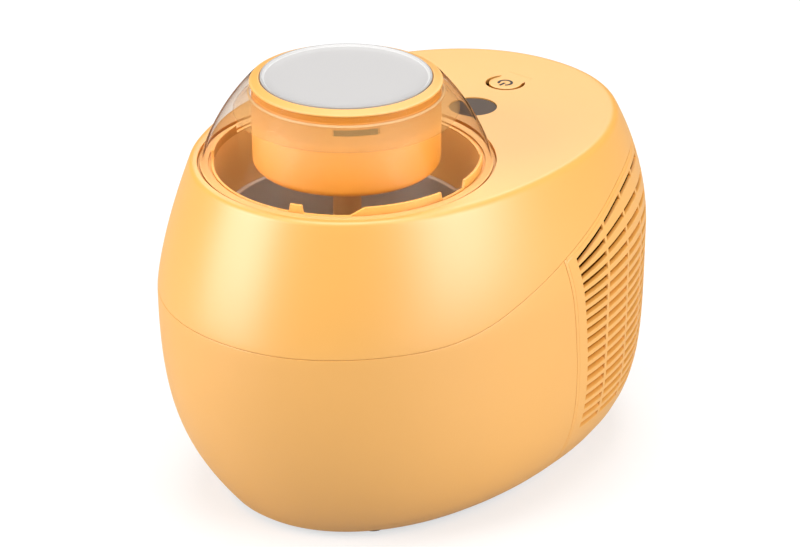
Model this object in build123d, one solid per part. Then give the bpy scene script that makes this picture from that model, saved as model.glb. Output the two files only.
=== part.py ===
from build123d import *
import math
import os

# Ice cream maker with a built-in compressor: an egg-shaped body, a flat deck,
# a clear dome lid that carries the motor head, and a louvred rear panel.
# It stands on its feet at z = 0. The dome end looks to -Y, the vent end to +Y,
# and the body is the same on both sides of X = 0. Lengths are in millimetres.

# Body shell
body_length = 368.4
body_width = 268.0
body_height = 224.0
wall = 3.0
deck_thickness = 3.0
foot_height = 4.0
widest_from_front = 185.7
dome_from_front = 124.4
bulge_below_deck = 82.0
plan_power = 2.11
outline_points = 16

# How far each side draws in from the bulge to the deck and to the base
front_in_at_deck = 26.0
rear_in_at_deck = 27.0
side_in_at_deck = 19.0
front_in_at_base = 43.0
rear_in_at_base = 21.0
side_in_at_base = 36.5
front_deck_power = 1.25
rear_deck_power = 2.0
side_deck_power = 1.6
front_base_power = 2.4
rear_base_power = 4.0
side_base_power = 5.8

# Seam line in side view: level at the front, a straight rise, level at the rear
seam_front_below_deck = 80.0
seam_rear_below_deck = 24.0
seam_rise_from_front = 96.4
seam_rise_length = 168.0
seam_radius = 180.0
seam_gap = 0.4

# Louvred rear panel
panel_edge_top = 162.0
panel_edge_middle = 191.9
panel_edge_foot = 184.4
panel_middle_below_deck = 132.0
slot_rows = 19
slot_columns = 5
slot_pitch = 7.0
slot_height = 4.2
slot_margin = 11.5
slot_top_margin = 6.8
slot_fan = 0.65
column_pitch = 31.0
first_column = 24.0
rib_width = 2.6

# Lid seat, well and bowl, measured from the dome's axis
seat_margin = 1.8
seat_depth = 2.2
collar_flange = 3.0
throat_top_radius = 83.0
throat_foot_radius = 80.0
throat_wall = 2.0
throat_depth = 40.0
rim_above_seat = 0.8
band_rise = 3.6
gasket_thickness = 1.3
gasket_width = 5.4
bowl_rim_radius = 79.0
bowl_radius = 77.4
bowl_wall = 1.5
bowl_depth = 112.0
bowl_corner = 8.0
bowl_draft = 1.6
rim_thickness = 1.8
well_gap = 0.9
well_wall = 1.4
well_flange_width = 11.0
jacket_wall = 3.6
jacket_height = 84.0
insulation_wall = 19.6
insulation_floor = 12.0
support_wall = 2.6
support_floor = 3.7
support_leg_radius = 6.0
support_leg_x = 38.0
support_leg_y = 38.0

# Dome lid and motor head
dome_radius = 92.0
dome_mid_radius = 82.8
dome_mid_height = 20.0
dome_height = 51.8
dome_wall = 3.6
neck_wall = 1.7
head_radius = 59.0
head_wall = 2.6
head_floor = 3.0
head_drop = 2.0
head_corner = 5.0
head_lip = 1.1
head_lip_thickness = 1.4
head_shoulder = 1.6
cap_radius = 53.4
cap_rise = 0.6
cap_corner = 0.6
cap_rim = 1.2
cap_dish = 1.8
cap_dish_slope = 1.6
cap_seat = 2.6
grip_width = 29.0
grip_height = 4.0
grip_depth = 1.2
grip_above_deck = 41.5
grip_angle = -49.0
skirt_wall = 1.8
skirt_foot_height = 30.0
lug_width = 19.0
lug_start = -14.0
lug_height = 2.0
lug_bite = 2.9
hook_start = 9.0
hook_width = 29.0
hook_reach = 1.2
band_start = -42.0
band_width = 35.0
tab_start = -73.0
tab_width = 5.0
bayonets = 2

# Drive and paddle
motor_radius = 38.0
motor_height = 40.0
spindle_radius = 4.95
spindle_grip = 10.0
hub_radius = 9.0
hub_length = 44.0
hub_socket = 20.0
stem_radius = 7.0
paddle_radius = 71.0
paddle_height = 82.0
paddle_blade = 4.0
paddle_frame = 14.0
paddle_floor_gap = 2.5

# Power key, badge and control board on the deck, measured behind the dome's axis
key_radius = 11.2
key_from_dome = 162.0
key_groove = 1.8
key_neck_width = 19.0
key_neck_length = 17.0
key_thickness = 2.4
badge_radius = 15.4
badge_x = 9.0
badge_depth = 0.8
badge_from_dome = 116.0
board_size = 52.0
board_thickness = 1.6
board_below_deck = 12.0
board_post_radius = 2.6
board_post_inset = 5.0
switch_size = 6.0
key_travel = 2.0

# Base, cooling set and fan
base_thickness = 3.0
foot_radius = 8.0
foot_x = 54.0
foot_from_front = 84.2
foot_from_rear = 81.2
screw_radius = 2.0
screw_length = 16.0
screw_head_radius = 4.0
screw_head_height = 2.4
compressor_share = 0.312
compressor_place = 0.3225
compressor_height = 110.0
compressor_seam = 3.0
compressor_corner = 10.0
compressor_crown = 22.0
compressor_x = -38.0
grommet_radius = 7.0
grommet_height = 14.0
ear_share = 0.81
ear_start = 80.0
ear_radius = 9.0
ear_thickness = 3.0
fan_x = 50.0
fan_place = 0.2333
fan_size = 80.0
fan_depth = 22.0
fan_bore_radius = 37.0
fan_hub_radius = 14.0
fan_blades = 5
fan_blade_pitch = 35.0
fan_blade_thickness = 1.6
fan_arm_width = 6.0
fan_pin_radius = 2.0
fan_back = 4.0
bracket_height = 35.0
bracket_plate = 2.0
bracket_leg_spread = 52.0
bracket_leg_depth = 30.0
condenser_depth = 22.0
condenser_fins = 12
fin_thickness = 1.6
condenser_core = 8.0
gland_radius = 8.0
gland_bore = 3.5
gland_height = 90.0
gland_length = 14.0
gland_flange = 2.5
gland_flange_width = 3.0
gland_flange_gap = 1.4

# Clearances
play = 0.3
run_play = 0.05
lug_play = 0.4

# Places that follow from the sizes above
front_y = -body_length / 2
rear_y = body_length / 2
widest_y = front_y + widest_from_front
dome_y = front_y + dome_from_front
base_z = foot_height
deck_z = base_z + body_height
bulge_z = deck_z - bulge_below_deck
floor_z = base_z + base_thickness
reach = body_length + body_width
at_dome = Pos(0, dome_y, 0)
seat_hole_radius = dome_radius + seat_margin


def half_size(z, at_bulge, deck_in, deck_power, base_in, base_power):
    # Half size at one level: full at the bulge, drawn in by a power law above and below it
    if z >= bulge_z:
        return at_bulge - deck_in * ((z - bulge_z) / (deck_z - bulge_z)) ** deck_power
    return at_bulge - base_in * ((bulge_z - z) / (bulge_z - base_z)) ** base_power


def outline(z, inset=0.0):
    # Plan outline at one level: a superellipse with its own front and rear half lengths
    front = half_size(z, widest_y - front_y, front_in_at_deck, front_deck_power,
                      front_in_at_base, front_base_power) - inset
    rear = half_size(z, rear_y - widest_y, rear_in_at_deck, rear_deck_power,
                     rear_in_at_base, rear_base_power) - inset
    side = half_size(z, body_width / 2, side_in_at_deck, side_deck_power,
                     side_in_at_base, side_base_power) - inset
    points = []
    for i in range(outline_points):
        a = math.pi / 2 + 2 * math.pi * i / outline_points
        c = math.cos(a)
        s = math.sin(a)
        x = side * math.copysign(abs(c) ** (2 / plan_power), c)
        y = (rear if s > 0 else front) * math.copysign(abs(s) ** (2 / plan_power), s)
        points.append((x, widest_y + y, z))
    return make_face(Spline(points, periodic=True))


def body_block(inset, top):
    # Solid body form: outlines from the base to the given top, closest where it curves most
    levels = [bulge_z - (bulge_z - base_z) * t for t in (1, 0.96, 0.9, 0.8, 0.65, 0.4, 0)]
    levels += [bulge_z + (top - bulge_z) * t for t in (0.35, 0.7, 1)]
    return loft([outline(z, inset) for z in levels])


def spun(face):
    # Solid of revolution about the dome's axis from a face of radius and height
    return at_dome * revolve(Plane.XZ * face, Axis.Z)


def turned(*points):
    # The same from the corners of a straight-sided profile
    return spun(make_face(Polyline(*points, close=True)))


def sector(r_in, r_out, z_low, z_high, start, width):
    # Piece of a ring about the dome's axis between two angles
    face = make_face(Polyline((r_in, z_low), (r_out, z_low), (r_out, z_high), (r_in, z_high), close=True))
    return at_dome * Rot(0, 0, start) * revolve(Plane.XZ * face, Axis.Z, width)


def rod(radius, height, x, y, z):
    # Upright round bar standing on a point
    return Pos(x, y, z) * Cylinder(radius, height, align=(Align.CENTER, Align.CENTER, Align.MIN))


def block(x, y, z, dx, dy, dz):
    # Box centred on a point in plan and standing on its lower face
    return Pos(x, y, z) * Box(dx, dy, dz, align=(Align.CENTER, Align.CENTER, Align.MIN))


def above_seam(shift):
    # Everything above the seam line, moved up by the shift
    start = front_y + seam_rise_from_front
    z_front = deck_z - seam_front_below_deck + shift
    z_rear = deck_z - seam_rear_below_deck + shift
    line = FilletPolyline((-reach, z_front), (start, z_front), (start + seam_rise_length, z_rear),
                          (reach, z_rear), radius=seam_radius)
    edge = Polyline((reach, z_rear), (reach, reach), (-reach, reach), (-reach, z_front))
    return extrude(Plane.YZ * make_face(line + edge), reach, both=True)


def behind_panel_edge(shift):
    # Everything behind the panel's bowed front edge, moved back by the shift
    y_top = front_y + panel_edge_top + shift
    y_middle = front_y + panel_edge_middle + shift
    y_foot = front_y + panel_edge_foot + shift
    z_top = deck_z - wall
    z_foot = base_z - base_thickness
    arc = ThreePointArc((y_top, z_top), (y_middle, deck_z - panel_middle_below_deck), (y_foot, z_foot))
    edge = Polyline((y_foot, z_foot), (reach, z_foot), (reach, z_top), (y_top, z_top))
    return extrude(Plane.YZ * make_face(arc + edge), reach, both=True)


def slot_row(z, lift):
    # One row of louvre slots as a bar across the body that climbs with the seam
    start = front_y + seam_rise_from_front
    end = start + seam_rise_length
    low = FilletPolyline((start, z), (end, z + lift), (reach, z + lift), radius=seam_radius)
    high = Pos(0, slot_height) * low
    ends = Line(low @ 0, high @ 0) + Line(low @ 1, high @ 1)
    return extrude(Plane.YZ * make_face(low + high + ends), reach, both=True)


# Body shell, split along the seam and along the panel's front edge
shell = body_block(0, deck_z) - body_block(wall, deck_z - deck_thickness)
upper_housing = shell & above_seam(0)
below = shell - above_seam(-seam_gap)
lower_housing = below - behind_panel_edge(-seam_gap)

# Louvres on one half of the panel: rows fan out under the rising seam and run level below,
# columns are parted by ribs that stand square to the wall. The other half is its mirror image.
half_space = block(reach / 2, 0, 0, reach, reach, reach)
half_panel = below & behind_panel_edge(0) & half_space
slot_front = front_y + panel_edge_middle + slot_margin
climb = seam_front_below_deck - seam_rear_below_deck
climb_at_front = climb * (slot_front - front_y - seam_rise_from_front) / seam_rise_length
first_row = deck_z - seam_front_below_deck + climb_at_front - slot_top_margin - slot_height
rows = []
for i in range(slot_rows):
    fan = slot_fan ** i
    rows.append(slot_row(first_row - i * slot_pitch - fan * climb_at_front, fan * climb))
slot_zone = behind_panel_edge(slot_margin)
girdle = outline(bulge_z).edges()[0]
quarter = 0.75 + (slot_front - widest_y) / girdle.length
for i in range(slot_columns):
    along = quarter + (first_column + (i - 0.5) * column_pitch) / girdle.length
    at = girdle @ along
    heading = girdle % along
    turn = math.degrees(math.atan2(heading.Y, heading.X))
    cell = Pos(at.X, at.Y, 0) * Rot(0, 0, turn) * Box(column_pitch - rib_width, body_width / 2, 2 * reach)
    column = cell & slot_zone
    half_panel = half_panel - [row & column for row in rows]
rear_panel = half_panel + mirror(half_panel, about=Plane.YZ)

# Cord gland low in the plain middle of the rear panel, and the hole that it sits in
gland_z = base_z + gland_height
gland_y = widest_y + half_size(gland_z, rear_y - widest_y, rear_in_at_deck, rear_deck_power,
                               rear_in_at_base, rear_base_power)
gland_face = Plane((0, gland_y, gland_z), x_dir=(1, 0, 0), z_dir=(0, 1, 0))
rear_panel = rear_panel - gland_face * Cylinder(gland_radius + play, 4 * gland_length)
flange_at = -wall - gland_flange_gap - gland_flange / 2
cord_gland = gland_face * (
    Pos(0, 0, -gland_length / 2) * Cylinder(gland_radius, gland_length)
    + Pos(0, 0, flange_at) * Cylinder(gland_radius + gland_flange_width, gland_flange)
    - Cylinder(gland_bore, 4 * gland_length))

# Deck: hole for the lid seat, badge recess, cut-out round the power key, posts for the board
key_y = dome_y + key_from_dome
badge_y = dome_y + badge_from_dome
deck_under = deck_z - deck_thickness


def key_plan(groove, gap):
    # Round key with a neck that runs back to its hinge line
    neck = Rectangle(key_neck_width + 2 * gap, key_neck_length + gap, align=(Align.CENTER, Align.MIN))
    return Circle(key_radius + groove) + neck


cut_low = deck_z - 2 * deck_thickness
upper_housing = upper_housing - rod(seat_hole_radius, 3 * deck_thickness, 0, dome_y, cut_low)
recess = rod(badge_radius + play, deck_thickness, badge_x, badge_y, deck_z - badge_depth)
upper_housing = upper_housing - recess
key_hole = extrude(key_plan(key_groove, play), 3 * deck_thickness)
upper_housing = upper_housing - Pos(0, key_y, cut_low) * key_hole
board_top = deck_z - board_below_deck
post_spread = board_size / 2 - board_post_inset
posts = [rod(board_post_radius, deck_under - board_top, x, key_y + y, board_top)
         for x in (-post_spread, post_spread) for y in (-post_spread, post_spread)]
upper_housing = upper_housing + posts
power_key = Pos(0, key_y, deck_z - key_thickness) * extrude(key_plan(0, 0), key_thickness)
deck_badge = rod(badge_radius, badge_depth, badge_x, badge_y, deck_z - badge_depth)
control_board = block(0, key_y, board_top - board_thickness, board_size, board_size, board_thickness)
switch_top = deck_z - key_thickness - key_travel
key_switch = block(0, key_y - key_radius / 2, board_top, switch_size, switch_size, switch_top - board_top)

# Lid seat collar: flange in the deck hole, throat down to the well, bayonet hooks outside
seat_z = deck_z - seat_depth
collar_top = seat_z + rim_above_seat
throat_foot = deck_z - throat_depth
seat_radius = seat_hole_radius - play
collar_radius = throat_top_radius + throat_wall
lid_collar = turned(
    (throat_foot_radius, throat_foot), (throat_foot_radius + throat_wall, throat_foot),
    (collar_radius, seat_z - collar_flange), (seat_radius, seat_z - collar_flange), (seat_radius, seat_z),
    (collar_radius, seat_z), (collar_radius, collar_top), (throat_top_radius, collar_top))
lid_foot = seat_z + gasket_thickness + play
lug_low = lid_foot + play
hook_low = lug_low + lug_height + lug_play
hook_radius = collar_radius + hook_reach
for i in range(bayonets):
    turn = 360 * i / bayonets
    for start, width in ((band_start, band_width), (tab_start, tab_width), (hook_start, hook_width)):
        rise = sector(throat_top_radius, collar_radius, collar_top, deck_z + band_rise, start + turn, width)
        lid_collar = lid_collar + rise
    ledge = sector(collar_radius, hook_radius, hook_low, deck_z + band_rise, hook_start + turn, hook_width)
    lid_collar = lid_collar + ledge

# Bowl in its cooled well, with jacket, insulation and support round it
rim_z = throat_foot + play
bowl_top = rim_z + rim_thickness
bowl_low = bowl_top - bowl_depth - bowl_wall
bowl_foot_radius = bowl_radius - bowl_draft
bowl_outer = make_face(Polyline(
    (0, bowl_low), (bowl_foot_radius, bowl_low), (bowl_radius, bowl_top - rim_thickness),
    (bowl_rim_radius, bowl_top - rim_thickness), (bowl_rim_radius, bowl_top), (0, bowl_top), close=True))
bowl_outer = fillet(bowl_outer.vertices().filter_by(lambda v: v.X > stem_radius).sort_by(Axis.Y)[0],
                    bowl_corner)
bowl_inner = make_face(Polyline(
    (0, bowl_low + bowl_wall), (bowl_foot_radius - bowl_wall, bowl_low + bowl_wall),
    (bowl_radius - bowl_wall, bowl_top), (0, bowl_top), close=True))
bowl_inner = fillet(bowl_inner.vertices().filter_by(lambda v: v.X > stem_radius).sort_by(Axis.Y)[0],
                    bowl_corner - bowl_wall)
bowl = spun(bowl_outer) - spun(bowl_inner)
well_radius = bowl_radius + well_gap
well_outer = well_radius + well_wall
well_floor = bowl_low - play
well_low = well_floor - well_wall
well_flange = well_outer + well_flange_width
well = turned(
    (0, well_low), (well_outer, well_low), (well_outer, throat_foot - well_wall),
    (well_flange, throat_foot - well_wall), (well_flange, throat_foot), (well_radius, throat_foot),
    (well_radius, well_floor), (0, well_floor))
jacket_radius = well_outer + play + jacket_wall
jacket_low = well_low + insulation_floor
evaporator_jacket = turned(
    (well_outer + play, jacket_low), (jacket_radius, jacket_low),
    (jacket_radius, jacket_low + jacket_height), (well_outer + play, jacket_low + jacket_height))
foam_inner = jacket_radius + play
foam_radius = foam_inner + insulation_wall
foam_low = well_low - insulation_floor
foam_top = throat_foot - well_wall
insulation = turned(
    (0, foam_low), (foam_radius, foam_low), (foam_radius, foam_top), (foam_inner, foam_top),
    (foam_inner, jacket_low), (well_outer + play, jacket_low), (well_outer + play, well_low), (0, well_low))
support_inner = foam_radius + play
support_radius = support_inner + support_wall
support_low = foam_low - support_floor
well_support = turned(
    (0, support_low), (support_radius, support_low), (support_radius, foam_top),
    (support_inner, foam_top), (support_inner, foam_low), (0, foam_low))
leg_places = [(x, dome_y + y) for x in (-support_leg_x, support_leg_x)
              for y in (-support_leg_y, support_leg_y)]
for x, y in leg_places:
    leg = rod(support_leg_radius, support_low - floor_z, x, y, floor_z)
    well_support = well_support + leg - rod(screw_radius, screw_length, x, y, floor_z)

# Clear dome lid on its gasket, with lugs that turn under the collar's hooks
gasket_outer = dome_radius
lid_gasket = turned(
    (gasket_outer - gasket_width, seat_z), (gasket_outer, seat_z),
    (gasket_outer, seat_z + gasket_thickness), (gasket_outer - gasket_width, seat_z + gasket_thickness))
dome_top = deck_z + dome_height
neck_inner = head_radius + play
neck_outer = neck_inner + neck_wall
dome_mid = lid_foot + dome_mid_height
dome_outer = ThreePointArc((dome_radius, lid_foot), (dome_mid_radius, dome_mid), (neck_outer, dome_top))
dome_inner = ThreePointArc((neck_inner, dome_top - dome_wall),
                           (dome_mid_radius - dome_wall, dome_mid - dome_wall / 4),
                           (dome_radius - dome_wall, lid_foot))
dome_face = make_face(dome_outer + Line(dome_outer @ 1, (neck_inner, dome_top))
                      + Line((neck_inner, dome_top), dome_inner @ 0) + dome_inner
                      + Line(dome_inner @ 1, dome_outer @ 0))
lid_dome = spun(dome_face)
core_edge = Polyline(dome_inner @ 1, (0, lid_foot), (0, dome_top - dome_wall), dome_inner @ 0)
dome_core = spun(make_face(dome_inner + core_edge))
for i in range(bayonets):
    lug = sector(dome_radius - dome_wall - lug_bite, dome_radius - dome_wall / 2,
                 lug_low, lug_low + lug_height, lug_start + 360 * i / bayonets, lug_width)
    lid_dome = lid_dome + lug

# Frosted skirt that hugs the dome under its neck
skirt_low = deck_z + skirt_foot_height
skirt_top = dome_top - dome_wall - play
skirt_band = turned((neck_inner + play, skirt_low), (dome_radius, skirt_low), (dome_radius, skirt_top),
                    (neck_inner + play, skirt_top))
skirt_block = skirt_band & (Pos(0, 0, -play) * dome_core)
head_skirt = skirt_block - Pos(0, 0, -skirt_wall - play) * dome_core

# Motor head: a drum that hangs through the neck, its white cap and the gear motor
head_low = deck_z - head_drop
lip_low = dome_top + play
shoulder_low = lip_low + head_lip_thickness
shoulder_top = shoulder_low + head_shoulder
cap_bore = cap_radius + play
drum = make_face(Polyline(
    (0, head_low), (head_radius, head_low), (head_radius, lip_low), (head_radius + head_lip, lip_low),
    (head_radius + head_lip, shoulder_low), (head_radius, shoulder_low), (cap_bore + play, shoulder_top),
    (cap_bore, shoulder_top), (cap_bore, shoulder_top - cap_seat),
    (head_radius - head_wall, shoulder_top - cap_seat - head_wall),
    (head_radius - head_wall, head_low + head_floor), (0, head_low + head_floor), close=True))
drum = fillet(drum.vertices().filter_by(lambda v: v.X > cap_bore).sort_by(Axis.Y)[0], head_corner)
spindle_bore = rod(spindle_radius + run_play, body_height, 0, dome_y, head_low - body_height / 2)
grip_turn = at_dome * Rot(0, 0, grip_angle)
grip_at = grip_turn * Pos(head_radius, 0, deck_z + grip_above_deck)
grip = grip_at * Box(2 * grip_depth, grip_width, grip_height)
head_drum = spun(drum) - spindle_bore - grip
cap_low = shoulder_top - cap_seat
cap_top = shoulder_top + cap_rise
dish_radius = cap_radius - cap_rim
cap_face = make_face(Polyline(
    (0, cap_low), (cap_radius, cap_low), (cap_radius, cap_top), (dish_radius, cap_top),
    (dish_radius - cap_dish_slope, cap_top - cap_dish), (0, cap_top - cap_dish), close=True))
cap_face = fillet(cap_face.vertices().group_by(Axis.Y)[-1].sort_by(Axis.X)[-1], cap_corner)
head_cap = spun(cap_face)
motor_low = head_low + head_floor
drive_motor = rod(motor_radius, motor_height, 0, dome_y, motor_low)
drive_motor = drive_motor - rod(spindle_radius + run_play, spindle_grip + play, 0, dome_y, motor_low)

# Spindle and paddle
hub_top = head_low - play
hub_low = hub_top - hub_length
spindle_low = hub_top - hub_socket
drive_spindle = rod(spindle_radius, motor_low + spindle_grip - spindle_low, 0, dome_y, spindle_low)
paddle_low = bowl_low + bowl_wall + paddle_floor_gap
paddle = rod(hub_radius, hub_length, 0, dome_y, hub_low)
paddle = paddle + rod(stem_radius, hub_low - paddle_low, 0, dome_y, paddle_low)
frame = Pos(0, dome_y, paddle_low) * Box(2 * paddle_radius, paddle_blade, paddle_height,
                                         align=(Align.CENTER, Align.CENTER, Align.MIN))
window = paddle_radius - 2 * paddle_frame
for side in (-1, 1):
    at = side * (paddle_frame + window / 2 + stem_radius / 2)
    frame = frame - block(at, dome_y, paddle_low + paddle_frame, window, 2 * paddle_blade,
                          paddle_height - 2 * paddle_frame)
paddle = paddle + frame - rod(spindle_radius + run_play, hub_socket, 0, dome_y, spindle_low)

# Base plate with its screws and feet
base_plate = extrude(outline(base_z, wall + play), base_thickness)
for x, y in leg_places:
    base_plate = base_plate - rod(screw_radius + play, 3 * base_thickness, x, y, base_z - base_thickness)
leg_screws = [rod(screw_radius - run_play, screw_length + base_thickness - play, x, y, base_z)
              + rod(screw_head_radius, screw_head_height, x, y, base_z - screw_head_height)
              for x, y in leg_places]
feet = [rod(foot_radius, foot_height, x, y, 0)
        for x in (-foot_x, foot_x) for y in (front_y + foot_from_front, rear_y - foot_from_rear)]

# Compressor on three grommets, in the room that the well support leaves to the rear wall
room_front = dome_y + support_radius
room = rear_y - wall - room_front
compressor_radius = compressor_share * room
compressor_y = room_front + compressor_place * room
ear_offset = ear_share * compressor_radius
can_low = floor_z + grommet_height
can_top = can_low + compressor_height
weld_z = can_top - compressor_crown * 2
can_face = make_face(
    Polyline((0, can_low), (compressor_radius - compressor_corner, can_low),
             (compressor_radius, can_low + compressor_corner), (compressor_radius, weld_z),
             (compressor_radius + compressor_seam, weld_z),
             (compressor_radius + compressor_seam, weld_z + compressor_seam),
             (compressor_radius, weld_z + compressor_seam), (compressor_radius, can_top - compressor_crown))
    + TangentArc((0, can_top), (compressor_radius, can_top - compressor_crown), tangent=(1, 0))
    + Line((0, can_top), (0, can_low)))
compressor = Pos(compressor_x, compressor_y, 0) * revolve(Plane.XZ * can_face, Axis.Z)
grommets = []
for angle in (ear_start, ear_start + 120, ear_start + 240):
    x = compressor_x + ear_offset * math.cos(math.radians(angle))
    y = compressor_y + ear_offset * math.sin(math.radians(angle))
    ear = rod(ear_radius, ear_thickness, x, y, can_low)
    arm = Pos((x + compressor_x) / 2, (y + compressor_y) / 2, can_low + ear_thickness / 2) * Rot(0, 0, angle)
    compressor = compressor + ear + arm * Box(ear_offset, 2 * ear_radius, ear_thickness)
    grommets.append(rod(grommet_radius, grommet_height, x, y, floor_z))

# Fan in its frame, and the finned condenser behind it, on one bracket
fan_y = room_front + fan_place * room
bracket_z = floor_z + bracket_height
fan_z = bracket_z + fan_size / 2
fan_front = fan_y - fan_depth / 2
condenser_y = fan_y + fan_depth / 2 + play + condenser_depth / 2
shelf_depth = fan_depth + play + condenser_depth
shelf_y = fan_front + shelf_depth / 2
fan_bracket = block(fan_x, shelf_y, bracket_z - bracket_plate, fan_size, shelf_depth, bracket_plate)
for side in (-1, 1):
    leg_x = fan_x + side * bracket_leg_spread / 2
    fan_bracket = fan_bracket + block(leg_x, fan_front + bracket_leg_depth / 2, floor_z, bracket_plate,
                                      bracket_leg_depth, bracket_height)
along_y = Plane((fan_x, fan_y, fan_z), x_dir=(1, 0, 0), z_dir=(0, -1, 0))
back = -fan_depth / 2 + fan_back / 2
fan_frame = Box(fan_size, fan_size, fan_depth) - Cylinder(fan_bore_radius, fan_depth)
fan_frame = fan_frame + Pos(0, 0, back) * Cylinder(fan_hub_radius, fan_back)
for i in range(3):
    arm = Pos(fan_bore_radius / 2, 0, 0) * Box(fan_bore_radius + fan_back, fan_arm_width, fan_back)
    fan_frame = fan_frame + Pos(0, 0, back) * Rot(0, 0, 90 + 120 * i) * arm
pin_length = fan_depth - fan_back - 2 * play
fan_frame = fan_frame + Pos(0, 0, back + fan_back / 2 + pin_length / 2) * Cylinder(fan_pin_radius, pin_length)
fan_frame = along_y * fan_frame
rotor_depth = fan_depth - fan_back - 2 * play
rotor_at = -fan_depth / 2 + fan_back + play + rotor_depth / 2
fan_rotor = Cylinder(fan_hub_radius, rotor_depth)
blade_length = fan_bore_radius - fan_hub_radius - fan_back / 2
for i in range(fan_blades):
    blade = Pos(fan_hub_radius + blade_length / 2 - fan_back / 4, 0, 0) * Rot(fan_blade_pitch, 0, 0)
    blade = blade * Box(blade_length, rotor_depth, fan_blade_thickness)
    fan_rotor = fan_rotor + Rot(0, 0, 360 * i / fan_blades) * blade
fan_rotor = fan_rotor & Cylinder(fan_bore_radius - 4 * play, rotor_depth)
fan_rotor = along_y * Pos(0, 0, rotor_at) * (fan_rotor - Cylinder(fan_pin_radius + run_play, rotor_depth))
condenser = block(fan_x, condenser_y, bracket_z, fan_size, condenser_core, fan_size)
fin_pitch = (fan_size - fin_thickness) / (condenser_fins - 1)
for i in range(condenser_fins):
    fin_x = fan_x - fan_size / 2 + fin_thickness / 2 + i * fin_pitch
    condenser = condenser + block(fin_x, condenser_y, bracket_z, fin_thickness, condenser_depth, fan_size)

nodes = {
    "upper_housing": upper_housing,
    "lower_housing": lower_housing,
    "rear_panel": rear_panel,
    "cord_gland": cord_gland,
    "base_plate": base_plate,
    "leg_screws": leg_screws,
    "feet": feet,
    "deck_badge": deck_badge,
    "power_key": power_key,
    "control_board": control_board,
    "key_switch": key_switch,
    "lid_collar": lid_collar,
    "bowl": bowl,
    "well": well,
    "evaporator_jacket": evaporator_jacket,
    "insulation": insulation,
    "well_support": well_support,
    "compressor": compressor,
    "grommets": grommets,
    "fan_bracket": fan_bracket,
    "fan_frame": fan_frame,
    "fan_rotor": fan_rotor,
    "condenser": condenser,
    "lid_gasket": lid_gasket,
    "lid_dome": lid_dome,
    "head_skirt": head_skirt,
    "head_drum": head_drum,
    "head_cap": head_cap,
    "drive_motor": drive_motor,
    "drive_spindle": drive_spindle,
    "paddle": paddle,
}

os.makedirs("parts", exist_ok=True)
for name, solid in nodes.items():
    if isinstance(solid, list):
        solid = Compound(children=solid)
    export_step(solid, f"parts/{name}.step")
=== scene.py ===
import math
import bpy
import bmesh
import numpy as np
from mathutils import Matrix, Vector


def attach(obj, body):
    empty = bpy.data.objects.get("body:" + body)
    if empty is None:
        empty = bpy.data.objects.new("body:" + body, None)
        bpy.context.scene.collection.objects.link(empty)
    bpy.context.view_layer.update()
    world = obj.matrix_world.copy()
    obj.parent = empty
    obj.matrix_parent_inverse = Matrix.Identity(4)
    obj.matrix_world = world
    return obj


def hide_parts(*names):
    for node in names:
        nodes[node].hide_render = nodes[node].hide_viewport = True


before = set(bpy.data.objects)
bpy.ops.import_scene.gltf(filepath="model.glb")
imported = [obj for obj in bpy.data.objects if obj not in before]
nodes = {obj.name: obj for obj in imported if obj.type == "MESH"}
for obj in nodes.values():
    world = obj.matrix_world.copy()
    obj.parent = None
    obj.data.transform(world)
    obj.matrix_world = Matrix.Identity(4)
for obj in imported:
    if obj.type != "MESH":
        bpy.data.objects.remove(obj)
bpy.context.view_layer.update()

scene = bpy.context.scene
mm = 0.001
weldGap, flatGap = 1e-6, 1e-7   # metres
settleRounds = 30
print("frame loaded,", len(nodes), "nodes")

# body form in millimetres, front and rear halves meet at the widest line
bodyForm = {
    "widestY": 1.5, "front": 185.7, "rear": 182.7, "side": 134.0, "planPower": 2.11,
    "baseZ": 4.0, "bulgeZ": 146.0, "deckZ": 228.0,
    "deckIn": (26.0, 27.0, 19.0), "deckPower": (1.25, 2.0, 1.6),   # front, rear, side
    "baseIn": (43.0, 21.0, 36.5), "basePower": (2.4, 4.0, 5.8),
    "past": 1.05,                                                  # how far the power curves run
    "seamFront": 148.0, "seamClimb": 56.0, "seamStart": -87.8, "seamRun": 168.0, "seamBend": 180.0,
    "panelEdge": ((-22.2, 225.0), (7.7, 96.0), (0.2, 1.0)),        # y and z of three points
    "normalStep": (0.004, 0.2),                                    # angle and height
    "domeY": -59.8,
}
deckZ = bodyForm["deckZ"]
domeY = bodyForm["domeY"]


def halfSize(z, which):
    # full half size at the bulge, less a power of the distance to it above and below
    full = (bodyForm["front"], bodyForm["rear"], bodyForm["side"])[which]
    up = np.clip((z - bodyForm["bulgeZ"]) / (deckZ - bodyForm["bulgeZ"]), 0, bodyForm["past"])
    down = np.clip((bodyForm["bulgeZ"] - z) / (bodyForm["bulgeZ"] - bodyForm["baseZ"]), 0, bodyForm["past"])
    return (full - bodyForm["deckIn"][which] * up ** bodyForm["deckPower"][which]
            - bodyForm["baseIn"][which] * down ** bodyForm["basePower"][which])


def bodyPoint(angle, z):
    # superellipse in plan at every height, with its own half length to the front and to the rear
    angle, z = np.broadcast_arrays(np.asarray(angle, float), np.asarray(z, float))
    c, s, e = np.cos(angle), np.sin(angle), 2 / bodyForm["planPower"]
    along = np.where(s > 0, halfSize(z, 1), halfSize(z, 0))
    x = halfSize(z, 2) * np.sign(c) * np.abs(c) ** e
    y = bodyForm["widestY"] + along * np.sign(s) * np.abs(s) ** e
    return np.stack([x, y, z], -1)


def bodyNormal(angle, z):
    # cross product of the two slopes of the body surface, taken by small steps
    turn, rise = bodyForm["normalStep"]
    da = bodyPoint(angle + turn, z) - bodyPoint(angle - turn, z)
    dz = bodyPoint(angle, z + rise) - bodyPoint(angle, z - rise)
    n = np.cross(da, dz)
    return n / np.linalg.norm(n, axis=-1, keepdims=True)


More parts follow.
